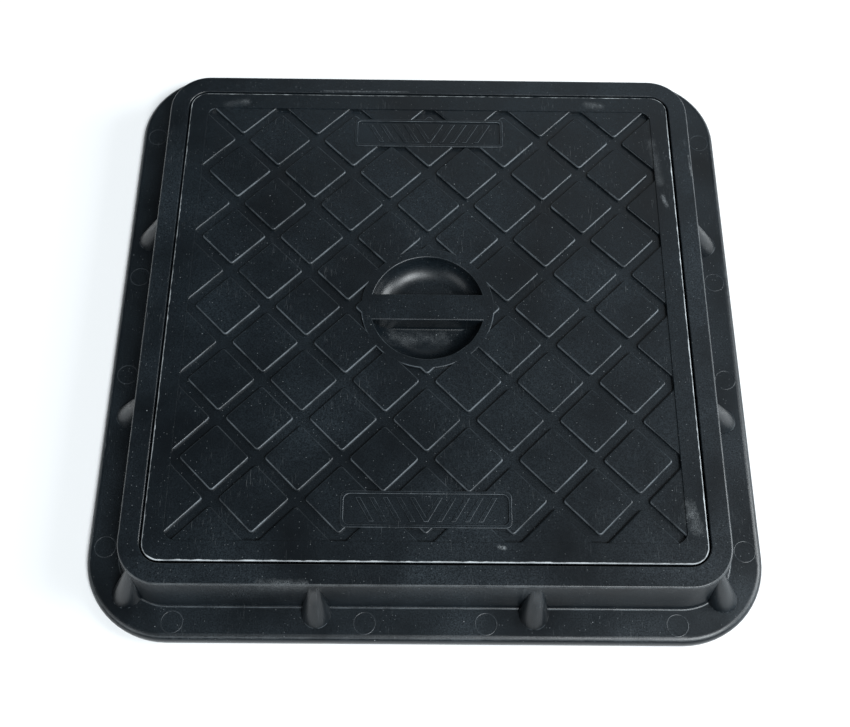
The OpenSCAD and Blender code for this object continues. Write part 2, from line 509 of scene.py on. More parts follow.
@dataclass(frozen=True)
class MouldedPolypropylene:
    """Black polypropylene from a steel mould.

    The mould leaves a satin skin with a fine grain, which softens every reflection. Dust settles in a thin
    uneven haze with small specks, and edges that are knocked or trodden on turn pale grey. Some pale edge
    lines, edge faces and smears are painted highlights instead.
    """

    name: str
    edges: Tuple[PaleEdge, ...]
    pale_smears: Tuple[PaleSmear, ...]
    base: str = "#080d11"
    dusty: str = "#1e2930"
    # pale grey for scratches, specks and wear, and for painted highlights along the frame's edges and in two
    # smears
    wear_and_highlight: str = "#c4cacd"
    # grey for the per-face share: wear, and painted highlights on lid edges that face the front
    pale: str = "#6a7278"
    ior: float = 1.49
    rough: float = 0.31
    dust_rough: float = 0.25
    wear_and_highlight_rough: float = 0.3
    # relief: width of the bumps, how strongly they show, and their depth
    relief: Tuple[Place, ...] = ((0.9 * MM, 0.35, 0.15 * MM), (26 * MM, 0.25, 1.5 * MM))
    haze: Patches = Patches(70 * MM, 5.0, 0.3, 0.75)
    powder: Patches = Patches(1.1 * MM, 3.0, 0.3, 0.8)
    uneven: Patches = Patches(14 * MM, 6.0, 0.36, 0.66, 0.15)
    edge_gaps: Patches = Patches(18 * MM, 6.0, 0.35, 0.6, 0.55)
    broken: Tuple[Patches, ...] = (Patches(0.9 * MM, 4.0, 0.35, 0.7), Patches(14 * MM, 4.0, 0.3, 0.6))
    streak: float = 0.35 * MM
    streak_turns: Place = (0.45, -0.95, 1.35)
    streak_stretch: float = 0.03
    hairlines: Patches = Patches(1.0, 0.0, 0.77, 0.87)
    scratched: Patches = Patches(45 * MM, 2.0, 0.5, 0.7, most=0.2)
    # specks: distance between them, radius, and how white the whitest are
    speck_kinds: Tuple[Place, ...] = ((8 * MM, 0.55 * MM, 0.6), (2.4 * MM, 0.4 * MM, 0.35))
    speck_luck: float = 0.7

    def material(self) -> bpy.types.Material:
        """Builds the material.

        Returns:
            The new material.
        """
        made = bpy.data.materials.new(self.name)
        made.use_nodes = True
        tree = made.node_tree
        tree.nodes.clear()
        place = node(tree, "TexCoord", {})["Object"]
        hazes = {i: part.mask(tree, place) for i, part in enumerate((self.haze, self.powder))}
        dust = node(tree, "Math", hazes, operation="MULTIPLY")[0]
        # pale marks: real scratches, specks and wear, with painted highlights along the frame's edges and in
        # two smears
        wear_and_highlight = 0.0
        layers = [self.streaks(tree, place)]
        layers += [self.specks(tree, place, *kind) for kind in self.speck_kinds]
        layers += [self.edge_mask(tree, place, edge) for edge in self.edges]
        layers += [self.pale_smear_mask(tree, place, pale_smear) for pale_smear in self.pale_smears]
        for layer in layers:
            wear_and_highlight = node(tree, "Math", {0: wear_and_highlight, 1: layer}, operation="MAXIMUM")[0]
        tone = colour(self.base)
        # per-face share: wear, and painted highlights on the lid's front-facing pad edges and dish lip
        rubbed = self.rubbed(tree, place)
        for share, top in ((dust, self.dusty), (rubbed, self.pale), (wear_and_highlight, self.wear_and_highlight)):
            links = {0: share, 6: tone, 7: colour(top)}
            tone = node(tree, "Mix", links, data_type="RGBA")[2]
        rough = self.rough
        for share, more in ((dust, self.dust_rough), (wear_and_highlight, self.wear_and_highlight_rough)):
            rough = node(tree, "Math", {0: share, 1: more, 2: rough}, operation="MULTIPLY_ADD")[0]
        skin = {}
        for size, strength, depth in self.relief:
            noise = node(tree, "TexNoise", {"Vector": place, "Scale": 1 / size, "Detail": 2.0})[0]
            links = {"Height": noise, "Strength": strength, "Distance": depth, **skin}
            skin = {"Normal": node(tree, "Bump", links)[0]}
        links = {"Base Color": tone, "Roughness": rough, "IOR": self.ior, **skin}
        shader = node(tree, "BsdfPrincipled", links)
        node(tree, "OutputMaterial", {"Surface": shader["BSDF"]})
        return made

    def rubbed(self, tree: Tree, place: Socket) -> Socket:
        """How far the plastic is painted pale, as wear and as painted highlight: the share stored on each
        face, unevenly.
        """
        stored = node(tree, "Attribute", {}, attribute_name="rubbed")["Fac"]
        return node(tree, "Math", {0: stored, 1: self.uneven.mask(tree, place)}, operation="MULTIPLY")[0]

    def specks(self, tree: Tree, place: Socket, gap: float, size: float, strength: float) -> Socket:
        """Small dust specks, one in some of the cells.

        Args:
            tree: the node tree.
            place: the coordinates.
            gap: distance between neighbouring cells.
            size: radius of a speck.
            strength: how white the whitest are.

        Returns:
            The mask.
        """
        cells = node(tree, "TexVoronoi", {"Vector": place, "Scale": 1 / gap})
        links = {"Value": cells["Distance"], "From Min": size / gap, "From Max": 0.3 * size / gap}
        dot = node(tree, "MapRange", links)[0]
        luck = node(tree, "SeparateColor", {"Color": cells["Color"]})[0]
        links = {"Value": luck, "From Min": self.speck_luck, "From Max": 1.0, "To Max": strength}
        chosen = node(tree, "MapRange", links)[0]
        return node(tree, "Math", {0: dot, 1: chosen}, operation="MULTIPLY")[0]

    def streaks(self, tree: Tree, place: Socket) -> Socket:
        """Hairline scratches in three directions, only here and there.

        Args:
            tree: the node tree.
            place: the coordinates.

        Returns:
            The mask.
        """
        best = 0.0
        scale = (1 / self.streak, self.streak_stretch / self.streak, 1)
        for turn in self.streak_turns:
            links = {"Vector": place, "Rotation": (0, 0, turn), "Scale": scale}
            lines = self.hairlines.mask(tree, node(tree, "Mapping", links)[0])
            best = node(tree, "Math", {0: best, 1: lines}, operation="MAXIMUM")[0]
        patch = self.scratched.mask(tree, place)
        return node(tree, "Math", {0: best, 1: patch}, operation="MULTIPLY")[0]

    def edge_mask(self, tree: Tree, place: Socket, edge: PaleEdge) -> Socket:
        """Where a rounded-square edge is painted pale, as wear on the lid's rim and as a painted highlight on
        the frame: a ragged line that swells and thins.

        Args:
            tree: the node tree.
            place: the coordinates.
            edge: the edge.

        Returns:
            The mask.
        """
        core = edge.half - edge.radius
        out = place
        for step, by in (("ABSOLUTE", (0, 0, 0)), ("SUBTRACT", (core, core, FAR)), ("MAXIMUM", (0, 0, 0))):
            out = node(tree, "VectorMath", {0: out, 1: by}, operation=step)[0]
        away = node(tree, "VectorMath", {0: out}, operation="LENGTH")[1]
        for step, by in (("SUBTRACT", edge.radius), ("ABSOLUTE", 0.0)):
            away = node(tree, "Math", {0: away, 1: by}, operation=step)[0]
        ragged = node(tree, "TexNoise", {"Vector": place, "Scale": 1 / edge.ragged, "Detail": 6.0})[0]
        links = {0: ragged, 1: 2.0 * edge.width, 2: -1.0 * edge.width}
        ragged = node(tree, "Math", links, operation="MULTIPLY_ADD")[0]
        away = node(tree, "Math", {0: away, 1: ragged}, operation="SUBTRACT")[0]
        links = {"Value": away, "From Min": edge.width, "From Max": 0.5 * edge.width, "To Max": edge.strength}
        band = node(tree, "MapRange", links)[0]
        height = node(tree, "SeparateXYZ", {"Vector": place})[2]
        for start, full in ((edge.low, edge.low + edge.fade), (edge.high + edge.fade, edge.high)):
            inside = node(tree, "MapRange", {"Value": height, "From Min": start, "From Max": full})[0]
            band = node(tree, "Math", {0: band, 1: inside}, operation="MULTIPLY")[0]
        return node(tree, "Math", {0: band, 1: self.edge_gaps.mask(tree, place)}, operation="MULTIPLY")[0]

    def pale_smear_mask(self, tree: Tree, place: Socket, pale_smear: PaleSmear) -> Socket:
        """A soft smear about the straight line between two points, broken into specks.

        Args:
            tree: the node tree.
            place: the coordinates.
            pale_smear: the scuff.

        Returns:
            The mask.
        """
        a, b = (Vector((*p, 0)) for p in (pale_smear.start, pale_smear.end))
        along = b - a
        flat = node(tree, "VectorMath", {0: place, 1: (1, 1, 0)}, operation="MULTIPLY")[0]
        from_a = node(tree, "VectorMath", {0: flat, 1: tuple(a)}, operation="SUBTRACT")[0]
        links = {0: from_a, 1: tuple(along / along.length_squared)}
        share = node(tree, "VectorMath", links, operation="DOT_PRODUCT")[1]
        share = node(tree, "Clamp", {"Value": share})[0]
        nearest = node(tree, "VectorMath", {0: tuple(along), "Scale": share}, operation="SCALE")[0]
        away = node(tree, "VectorMath", {0: from_a, 1: nearest}, operation="DISTANCE")[1]
        bent = node(tree, "TexNoise", {"Vector": place, "Scale": 1 / pale_smear.bent, "Detail": 6.0})[0]
        links = {0: bent, 1: -pale_smear.sway * pale_smear.width, 2: away}
        away = node(tree, "Math", links, operation="MULTIPLY_ADD")[0]
        none, full = (share * pale_smear.width for share in pale_smear.soft)
        mask = node(tree, "MapRange", {"Value": away, "From Min": none, "From Max": full})[0]
        for part in self.broken:
            mask = node(tree, "Math", {0: mask, 1: part.mask(tree, place)}, operation="MULTIPLY")[0]
        return node(tree, "Math", {0: mask, 1: pale_smear.strength}, operation="MULTIPLY")[0]


# ---------------------------------------------------------------- lid


@dataclass
class Lid:
    """The square lid: border, diamond tread, two blank panels, dish and grip bar, ribs underneath."""

    body: str = "lid"
    half: float = 225 * MM
    corner_r: float = 15 * MM
    edge_r: float = 1.2 * MM
    depth: float = 26 * MM
    plate: float = 7 * MM
    border: float = 16.5 * MM
    field_r: float = 10 * MM
    diamonds: int = 6
    groove: float = 8 * MM
    groove_depth: float = 3 * MM
    step: float = 0.8 * MM
    pad_r: float = 3 * MM
    rim_r: float = 1.2 * MM
    panel_size: Spot = (138 * MM, 30.5 * MM)
    panel_inset: float = 26.5 * MM
    panel_rim: float = 2.6 * MM
    panel_depth: float = 1.4 * MM
    hatch_h: float = 0.7 * MM
    hatch_w: float = 3.4 * MM
    hatch_pitch: float = 11 * MM
    hatch_lean: float = math.radians(30)
    hatch_margin: float = 5.2 * MM
    dish_r: float = 49.5 * MM
    dish_depth: float = 18 * MM
    bar: float = 25 * MM
    collar: float = 8.5 * MM
    dish_wall: float = 3.5 * MM
    lip: float = 1.1 * MM
    skirt: float = 5 * MM
    rib: float = 3 * MM
    rib_clear: float = 2 * MM
    rib_r: float = 0.8 * MM
    foot_r: float = 1.6 * MM
    collar_steps: Spot = (0.8 * MM, 0.25 * MM)
    step_r: float = 0.45 * MM
    panel_radii: Spot = (2.8 * MM, 5 * MM)
    panel_edge: float = 0.5 * MM
    hatch_edge: float = 0.35 * MM
    hair: float = 0.02 * MM
    # the mirrored grip bars are moved by this, so that no two bars share a point
    apart: Place = (0.05 * MM, 0.03 * MM, -0.02 * MM)
    # a face turns over an edge when its normal's rise lies between these two
    turning: Spot = (0.2, 0.97)
    # how pale these are painted: the lips of the panels and of the dish's front, then the rest of the dish;
    # the dish's front lip is paler as a painted highlight
    lip_wear_and_highlight: Spot = (0.45, 0.2)
    # how pale these are painted: pad edges that face the front, then the others; the front ones carry a
    # painted highlight on top of the wear
    pad_wear_and_highlight: Spot = (0.5, 0.12)
    top: float = 0.0

    def __post_init__(self) -> None:
        """Takes the lid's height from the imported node."""
        self.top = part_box("lid")[1].z
        self.seat = self.top - self.depth
        self.field = self.half - self.border
        self.pitch = 2 * self.field / self.diamonds
        self.pad_z = self.top - self.step
        self.floor_z = self.pad_z - self.groove_depth
        self.under = self.top - self.plate

    def tread(self) -> Piece:
        """Flat sheet of diamonds with its grooves pressed down, closed into a slab.

        Returns:
            The slab.
        """
        cell = self.pitch / math.sqrt(2)
        count = 2 * self.diamonds + 2
        bpy.ops.object.select_all(action="DESELECT")
        bpy.ops.mesh.primitive_grid_add(
            x_subdivisions=count,
            y_subdivisions=count,
            size=count * cell,
            location=(0, 0, self.pad_z),
            rotation=(0, 0, math.pi / 4),
        )
        slab = begin("tread")
        pick(slab, Kind.EDGE, lambda e: not e.is_boundary)
        bpy.ops.mesh.bevel(offset=self.groove / 2, segments=1, affect="EDGES", clamp_overlap=False)
        for normal in ((1, 0, 0), (-1, 0, 0), (0, 1, 0), (0, -1, 0)):
            bpy.ops.mesh.select_all(action="SELECT")
            edge = tuple(self.field * n for n in normal)
            bpy.ops.mesh.bisect(plane_co=edge, plane_no=normal, clear_outer=True, threshold=1e-6)
        pick(slab, Kind.FACE, lambda f: self.on_line(f.calc_center_median(), cell))
        extrude(-self.groove_depth)
        near = self.field - self.groove
        pick(slab, Kind.EDGE, lambda e: upright(e) and min(map(abs, middle(e).xy)) < near)
        round_edges(self.pad_r, 4)
        pick(slab, Kind.EDGE, lambda e: e.is_boundary and at_height(e, self.pad_z))
        extrude(0, (self.field + 5 * MM) / self.field)
        pick(slab, Kind.EDGE, self.is_pad_rim)
        round_edges(self.rim_r, 3)
        pick(slab, Kind.EDGE, lambda e: e.is_boundary)
        extrude(self.under + 0.5 * MM - self.pad_z)
        pick(slab, Kind.EDGE, lambda e: e.is_boundary)
        bpy.ops.mesh.edge_face_add()
        return turn_outward(slab)

    def on_line(self, spot: Vector, cell: float) -> bool:
        """Whether a point lies on a groove, given the distance between two parallel grooves."""
        across = ((spot.x + spot.y) / math.sqrt(2), (spot.y - spot.x) / math.sqrt(2))
        return any(abs(a / cell - round(a / cell)) * cell < self.groove / 2 for a in across)

    def is_pad_rim(self, e: bmesh.types.BMEdge) -> bool:
        """Whether an edge is where a pad's top turns down into a groove.

        Args:
            e: the edge.

        Returns:
            True on a pad's rim.
        """
        if len(e.link_faces) != 2 or not at_height(e, self.pad_z):
            return False
        flat = [abs(f.normal.z) > 0.9 for f in e.link_faces]
        return flat[0] != flat[1]

    def tray(self) -> Piece:
        """Border, skirt and the thin plate between them, open above and below.

        Returns:
            The tray.
        """
        size = (2 * self.half, 2 * self.half)
        tray = rounded_block("lid_shell", size, self.seat, self.top, self.corner_r, 10)
        pick(tray, Kind.EDGE, lambda e: at_height(e, self.top))
        round_edges(self.edge_r, 4)
        pick(tray, Kind.FACE, lambda f: f.normal.z < -0.9)
        inset(self.skirt)
        extrude(self.under - self.seat)
        done(tray)
        well = 2 * (self.field - 0.03 * MM)
        cutter = rounded_block("well", (well, well), self.under + 1 * MM, self.top + 5 * MM, self.field_r)
        combine(tray, done(cutter), Side.CUT)
        inner = self.field + TOL
        pick(tray, Kind.EDGE, lambda e: at_height(e, self.top) and max(map(abs, middle(e).xy)) < inner)
        round_edges(self.step_r, 2)
        return done(tray)

    def panel(self, name: str, y: float, radius: float) -> Piece:
        """A blank name panel: raised rim, sunk floor and slanted grip bars.

        Args:
            name: the object's name.
            y: its middle along Y.
            radius: its corner radius.

        Returns:
            The panel.
        """
        plate = done(rounded_block(name, self.panel_size, self.under + 0.7 * MM, self.top, radius, 6))
        floor = self.top - self.panel_depth
        inner = tuple(v - 2 * self.panel_rim for v in self.panel_size)
        combine(plate, done(rounded_block("recess", inner, floor, self.top + 2 * MM, radius, 6)), Side.CUT)
        pick(plate, Kind.EDGE, lambda e: at_height(e, self.top) and beside_wall(e))
        round_edges(self.panel_edge, 3)
        done(plate)
        tall = self.panel_size[1] - 2 * self.hatch_margin
        size = (self.hatch_w, 3 * tall)
        stroke = block("hatch", size, floor - self.hatch_h, floor + self.hatch_h, turn=-self.hatch_lean)
        for s in (1, -1):
            bpy.ops.mesh.select_all(action="SELECT")
            bpy.ops.mesh.bisect(
                plane_co=(0, s * tall / 2, 0), plane_no=(0, s, 0), clear_outer=True, use_fill=True
            )
        pick(stroke, Kind.EDGE, lambda e: at_height(e, floor + self.hatch_h))
        round_edges(self.hatch_edge, 2)
        done(stroke)
        room = self.panel_size[0] - 2 * self.hatch_margin - tall * math.tan(self.hatch_lean)
        count = int(room / 2 / self.hatch_pitch)
        spots = [(i + 0.5) * self.hatch_pitch for i in range(count)]
        bars = join([settle(copy_of(stroke, f"hatch_{i}"), (x, 0, 0)) for i, x in enumerate(spots)])
        bpy.data.objects.remove(stroke, do_unlink=True)
        others = copy_of(bars, "hatch_other")
        others.scale = (-1, 1, 1)
        settle(turn_outward(bake(others)), self.apart)
        combine(plate, bars, Side.ADD)
        combine(plate, others, Side.ADD)
        return settle(plate, (0, y, 0))

    def bowl(self, name: str, radius: float, depth: float, top: float, rise: float) -> Piece:
        """A pan with a flat floor and a quarter-round wall.

        Args:
            name: the object's name.
            radius: at its rim.
            depth: from rim to floor, and the wall's radius.
            top: height of the rim.
            rise: how far it is carried on above the rim, or below 0 how far it stops short of it.

        Returns:
            The solid.
        """
        steps = 12
        levels = []
        last = math.acos(max(-rise, 0) / depth)
        for i in range(steps + 1):
            a = last * i / steps
            levels.append((radius - depth + depth * math.sin(a), top - depth * math.cos(a)))
        if rise > 0:
            levels.append((radius, top + rise))
        return turned(name, levels, sides=96)

    def half_dish(self, side: int) -> Piece:
        """The hollow on one side of the grip bar, with a rounded lip, as a solid to cut out.

        Args:
            side: 1 behind the bar, -1 in front.

        Returns:
            The cutter.
        """
        lip, rim = self.lip, self.pad_z + self.hair
        cutter = self.bowl("half_dish", self.dish_r, self.dish_depth + self.hair, self.pad_z, -lip)
        low, long = self.pad_z - self.dish_depth, 60 * MM
        flat = side * self.bar / 2
        beside = block("half", (2 * long, long), low, low + long, (0, flat + side * long / 2))
        pick(beside, Kind.EDGE, lambda e: at_height(e, low) and abs(middle(e).y - flat) < TOL)
        round_edges(self.foot_r, 4)
        combine(cutter, done(beside), Side.KEEP)
        pick(cutter, Kind.FACE, lambda f: f.normal.z > 0.9)
        half = (self.dish_r - self.bar / 2) / 2
        middle_y = flat + side * half
        steps = 4
        z, off = -lip, 0.0
        for i in range(1, steps + 1):
            a = math.pi / 2 * i / steps
            new_z, new_off = lip * (math.sin(a) - 1), lip * (1 - math.cos(a))
            extrude(new_z - z)
            grow = ((self.dish_r + new_off) / (self.dish_r + off), (half + new_off) / (half + off), 1)
            bpy.ops.transform.resize(value=grow, center_override=(0, middle_y, 0))
            z, off = new_z, new_off
        extrude(rim + 4 * MM - self.pad_z)
        return turn_outward(cutter)

    def finish(self) -> MouldedPolypropylene:
        """The lid's plastic, with its worn rim, the scuffs it has picked up, and a painted highlight on the
        dish floor in front of the bar.

        Returns:
            The finish.
        """
        rim = PaleEdge(self.half, self.corner_r, self.top - 1.3 * MM, self.top, 1.0 * MM, 0.95)
        pale_smears = (
            PaleSmear((-0.105, 0.2243), (-0.020, 0.2243), 1.0 * MM, 0.8),
            PaleSmear((0.150, 0.2165), (0.163, 0.2150), 5 * MM, 0.35),
            PaleSmear((-0.190, 0.2120), (-0.172, 0.2160), 5 * MM, 0.22),
            PaleSmear((0.208, 0.175), (0.213, 0.130), 5 * MM, 0.15),
            PaleSmear((0.214, 0.115), (0.217, 0.105), 2.5 * MM, 0.6),
            PaleSmear((0.212, -0.178), (0.216, -0.196), 7 * MM, 0.35),
            PaleSmear((0.058, -0.212), (0.062, -0.2130), 2.2 * MM, 0.7),
            # painted highlight: the lit floor of the dish just in front of the grip bar
            PaleSmear((-0.032, -0.024), (0.012, -0.022), 9 * MM, 0.22),
        )
        return MouldedPolypropylene("polypropylene_moulded_lid", (rim,), pale_smears)

    def build(self) -> Piece:
        """Builds the whole lid as one closed moulding.

        Returns:
            The lid.
        """
        lid = self.tray()
        combine(lid, self.tread(), Side.ADD)
        combine(lid, self.rib_grid(), Side.ADD, crossing=True)
        radius, depth = (v + self.dish_wall for v in (self.dish_r, self.dish_depth))
        combine(lid, self.bowl("pan", radius, depth, self.pad_z - 1 * MM, 0.5 * MM), Side.ADD)
        r, z, (far, near) = self.dish_r + self.collar, self.pad_z + self.hair, self.collar_steps
        levels = [(r, self.under + 0.6 * MM), (r, z - far), (r - near, z - near), (r - far, z)]
        combine(lid, turned("collar", levels, sides=96), Side.ADD)
        y = self.field - self.panel_inset
        for name, spot, radius in zip(("panel_back", "panel_front"), (y, -y), self.panel_radii):
            size = tuple(v - 2 * self.hair for v in self.panel_size)
            seat = done(rounded_block("panel_seat", size, self.under + 1 * MM, self.top + 2 * MM, radius, 6))
            combine(lid, settle(seat, (0, spot, 0)), Side.CUT)
            combine(lid, self.panel(name, spot, radius), Side.ADD)
        for side in (1, -1):
            combine(lid, self.half_dish(side), Side.CUT)
        combine(lid, self.bar_hollow(), Side.CUT)
        return moulding(lid, "lid_moulding", self.rubbed)

    def rubbed(self, centre: Vector, normal: Vector) -> float:
        """Treads, rims and lips are painted pale where they turn over: wear, with painted highlights on pad
        edges that face the front and on the dish's front lip.

        Args:
            centre: of a face.
            normal: of the face.

        Returns:
            How pale it is, from 0 to 1.
        """
        low, high = self.turning
        turning = low < normal.z < high and centre.z > self.floor_z + 0.5 * MM
        if not turning or max(abs(centre.x), abs(centre.y)) > self.field - 1 * MM:
            return 0.0
        on_panel = abs(centre.x) < self.panel_size[0] / 2 + 1 * MM and abs(centre.y) > self.field * 0.8
        if on_panel or centre.xy.length < self.dish_r + 3 * MM:
            return self.lip_wear_and_highlight[0 if on_panel or centre.y < -self.bar else 1]
        return self.pad_wear_and_highlight[0 if normal.y < 0 else 1]

    def rib_grid(self) -> Piece:
        """Stiffening ribs under the plate, with room left for the dish.

        Returns:
            The ribs as one object.
        """
        low, high = self.seat + self.rib_clear, self.under + 0.3 * MM
        ribs = []
        for i in range(self.diamonds):
            x = (i - (self.diamonds - 1) / 2) * self.pitch
            rib = block(f"rib_{i}", (self.rib, 2 * self.half - self.skirt), low, high, (x, 0))
            pick(rib, Kind.EDGE, lambda e: at_height(e, low) and abs(middle(e).y) < 1 * MM)
            round_edges(self.rib_r, 2)
            ribs.append(done(rib))
        crossed = [settle(copy_of(r, r.name + "x"), turn=math.pi / 2) for r in ribs]
        return join(ribs + crossed)

    def bar_hollow(self) -> Piece:
        """The hollow up inside the grip bar, open underneath.

        Returns:
            The cutter.
        """
        wide = self.bar - 2 * self.dish_wall
        high = self.pad_z - self.dish_wall
        low = self.seat + 1 * MM
        long = 2 * (self.dish_r - 10 * MM)
        cutter = rounded_block("bar_hollow", (long, wide), low, high, 6 * MM, 6)
        return done(cutter)


# ---------------------------------------------------------------- frame


@dataclass
class Frame:
    """The frame: flange, drafted wall, top face, seat, gussets and the webs underneath."""

    body: str = "frame"
    core: float = 209 * MM
    rim_r: float = 35 * MM
    rim_edge: float = 2 * MM
    lean: float = 7 * MM
    wall_h: float = 42 * MM
    flange: float = 29 * MM
    flange_t: float = 10 * MM
    flange_edge: float = 6 * MM
    rim: float = 17 * MM
    lid_depth: float = 26 * MM
    seat_w: float = 18 * MM
    seat_t: float = 5 * MM
    wall_t: float = 5 * MM
    gusset_r: float = 12 * MM
    gusset_x: float = 88 * MM
    gusset_out: float = 4.5 * MM
    gusset_tip: float = 4.5 * MM
    gusset_drop: float = 4 * MM
    corner_out: float = 4 * MM
    corner_tip: float = 3 * MM
    corner_drop: float = 2 * MM
    root: float = 5 * MM
    flare: float = 0.6 * MM
    webs: int = 6
    web_t: float = 4 * MM
    web_r: float = 0.2 * MM
    mouth_r: float = 16 * MM
    mark_r: float = 9.2 * MM
    mark_places: Spot = (49 * MM, 204 * MM)
    mark_line: float = 0.3 * MM
    mark_h: float = 0.12 * MM
    fillet: float = 2.5 * MM
    # steps up the foot's fillet and round the top edge: how far in and how far up
    fillet_steps: Tuple[Spot, ...] = tuple(
        (i * MM, r * MM) for i, r in ((0.9, 0.15), (0.8, 0.5), (0.55, 0.8), (0.35, 1.15))
    )
    rim_steps: Tuple[Spot, ...] = tuple((i * MM, r * MM) for i, r in ((0.45, 1.2), (0.65, 0.6), (0.9, 0.2)))
    rim_lean: float = 0.3 * MM
    mouth_edge: float = 0.5 * MM
    rubbed_mark: float = 0.15
    rubbed_foot: float = 0.4
    top: float = 0.0

    def __post_init__(self) -> None:
        """Takes the frame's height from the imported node."""
        self.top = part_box("frame")[1].z
        self.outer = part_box("frame")[1].x
        self.foot = self.core + self.rim_r + self.lean
        self.seat = self.top - self.lid_depth

    def shell(self) -> Piece:
        """Flange, wall, top face and seat, made by insetting a rounded block step by step.

        Returns:
            The shell, with its middle still closed.
        """
        e = self.flange_edge
        size = (2 * self.outer, 2 * self.outer)
        shell = rounded_block("frame_shell", size, 0, self.flange_t - e, self.outer - self.core, 16)
        pick(shell, Kind.FACE, lambda f: f.normal.z > 0.9)
        steps = 5
        for i in range(steps):
            a, b = (math.pi / 2 * k / steps for k in (i, i + 1))
            inset(e * (math.cos(a) - math.cos(b)), e * (math.sin(b) - math.sin(a)))
        inset(self.flange - e - self.fillet)
        sunk, rise = (sum(step) for step in zip(*self.fillet_steps))
        lean_left = self.lean - (sunk - self.fillet) - self.rim_lean
        wall = ((lean_left, self.wall_h - rise - self.rim_edge),)
        for step in self.fillet_steps + wall + self.rim_steps:
            inset(*step)
        used = lean_left + sum(inward for inward, _ in self.rim_steps) + (sunk - self.fillet)
        inset(self.rim + self.lean - used - self.mouth_edge)
        inset(self.mouth_edge, -self.mouth_edge)
        extrude(self.mouth_edge - self.lid_depth)
        grow = (self.core + self.rim_r - self.rim - self.seat_w) / (self.core + self.rim_r - self.rim)
        extrude(0, grow)
        extrude(-self.seat_t * 3)
        return done(shell)

    def gusset(self, name: str, reach: float, rise: float, tip: float) -> Piece:
        """A cone with a flared foot at the origin, leaning to -X so that its top sinks in the wall.

        Args:
            name: the object's name.
            reach: how far its top leans in.
            rise: how far its top is above the flange.
            tip: radius at its top.

        Returns:
            The cone.
        """
        lean = math.atan(reach / rise)
        axis = rise / math.cos(lean)
        slope = (self.gusset_r - tip) / axis
        levels = [(self.gusset_r - slope * h, h) for h in (-self.flange_t, 0, axis / 2, axis)]
        cone = turned(name, levels, sides=48)
        cone.rotation_euler = (0, -lean, 0)
        cone.location = (0, 0, self.flange_t)
        edit(bake(cone))
        for z in (self.flange_t - self.root, self.flange_t + self.flare):
            bpy.ops.mesh.select_all(action="SELECT")
            low = z < self.flange_t
            bpy.ops.mesh.bisect(plane_co=(0, 0, z), plane_no=(0, 0, -1), clear_outer=low, use_fill=low)
        pick(cone, Kind.FACE, lambda f: f.normal.z < -0.9)
        spread(1 + 2 * self.flare / self.gusset_r, self.centroid(cone))
        extrude(-MM)
        return turn_outward(cone)

    def centroid(self, piece: Piece) -> Spot:
        """Middle, in plan, of the points selected on a piece."""
        spots = [v.co for v in edit(piece).verts if v.select]
        return (sum(p.x for p in spots) / len(spots), sum(p.y for p in spots) / len(spots))

    def gussets(self) -> List[Piece]:
        """All gussets, two a side and one at each corner.

        Returns:
            The gussets.
        """
        sunk = self.rim_edge / 2
        side_reach = self.lean + self.gusset_out + self.gusset_tip + sunk
        post = self.gusset("gusset", side_reach, self.wall_h - self.gusset_drop, self.gusset_tip)
        corner_reach = self.lean + self.corner_out + self.corner_tip
        cone = self.gusset("corner_gusset", corner_reach, self.wall_h - self.corner_drop, self.corner_tip)
        out = self.rim_r + self.lean + self.corner_out
        made = []
        for k in range(4):
            turn = k * math.pi / 2
            for s in (-1, 1):
                one = copy_of(post, f"gusset_{k}_{s + 1}")
                settle(one, (self.foot + self.gusset_out, s * self.gusset_x, 0))
                made.append(settle(one, turn=turn))
            one = copy_of(cone, f"corner_gusset_{k}")
            diagonal = self.core + out / math.sqrt(2)
            settle(one, (diagonal, diagonal, 0), math.pi / 4)
            made.append(settle(one, turn=turn))
        for o in (post, cone):
            bpy.data.objects.remove(o, do_unlink=True)
        return made

    def mark(self, name: str) -> Piece:
        """A faint round moulding mark, standing at the origin.

        Args:
            name: the object's name.

        Returns:
            The mark: a thin ring.
        """
        bpy.ops.object.select_all(action="DESELECT")
        bpy.ops.mesh.primitive_circle_add(
            vertices=48, radius=self.mark_r, fill_type="NGON", location=(0, 0, self.flange_t - 0.6 * MM)
        )
        ring = begin(name)
        extrude(0.6 * MM + 0.1 * MM)
        pick(ring, Kind.FACE, lambda f: f.normal.z > 0.9)
        for rise in (self.mark_h, 0, -self.mark_h):
            inset(self.mark_line, rise)
        extrude(-0.25 * MM)
        return turn_outward(ring)

    def marks(self) -> List[Piece]:
        """The round marks, four a side along the middle of the flange.

        Returns:
            The marks.
        """
        first = self.mark("mark")
        out = self.foot + self.flange / 2 - 0.5 * MM
        made = []
        for k in range(4):
            for i, x in enumerate([side * spot for spot in self.mark_places for side in (-1, 1)]):
                one = copy_of(first, f"mark_{k}_{i}")
                settle(one, (x, -out, 0))
                made.append(settle(one, turn=k * math.pi / 2))
        bpy.data.objects.remove(first, do_unlink=True)
        return made

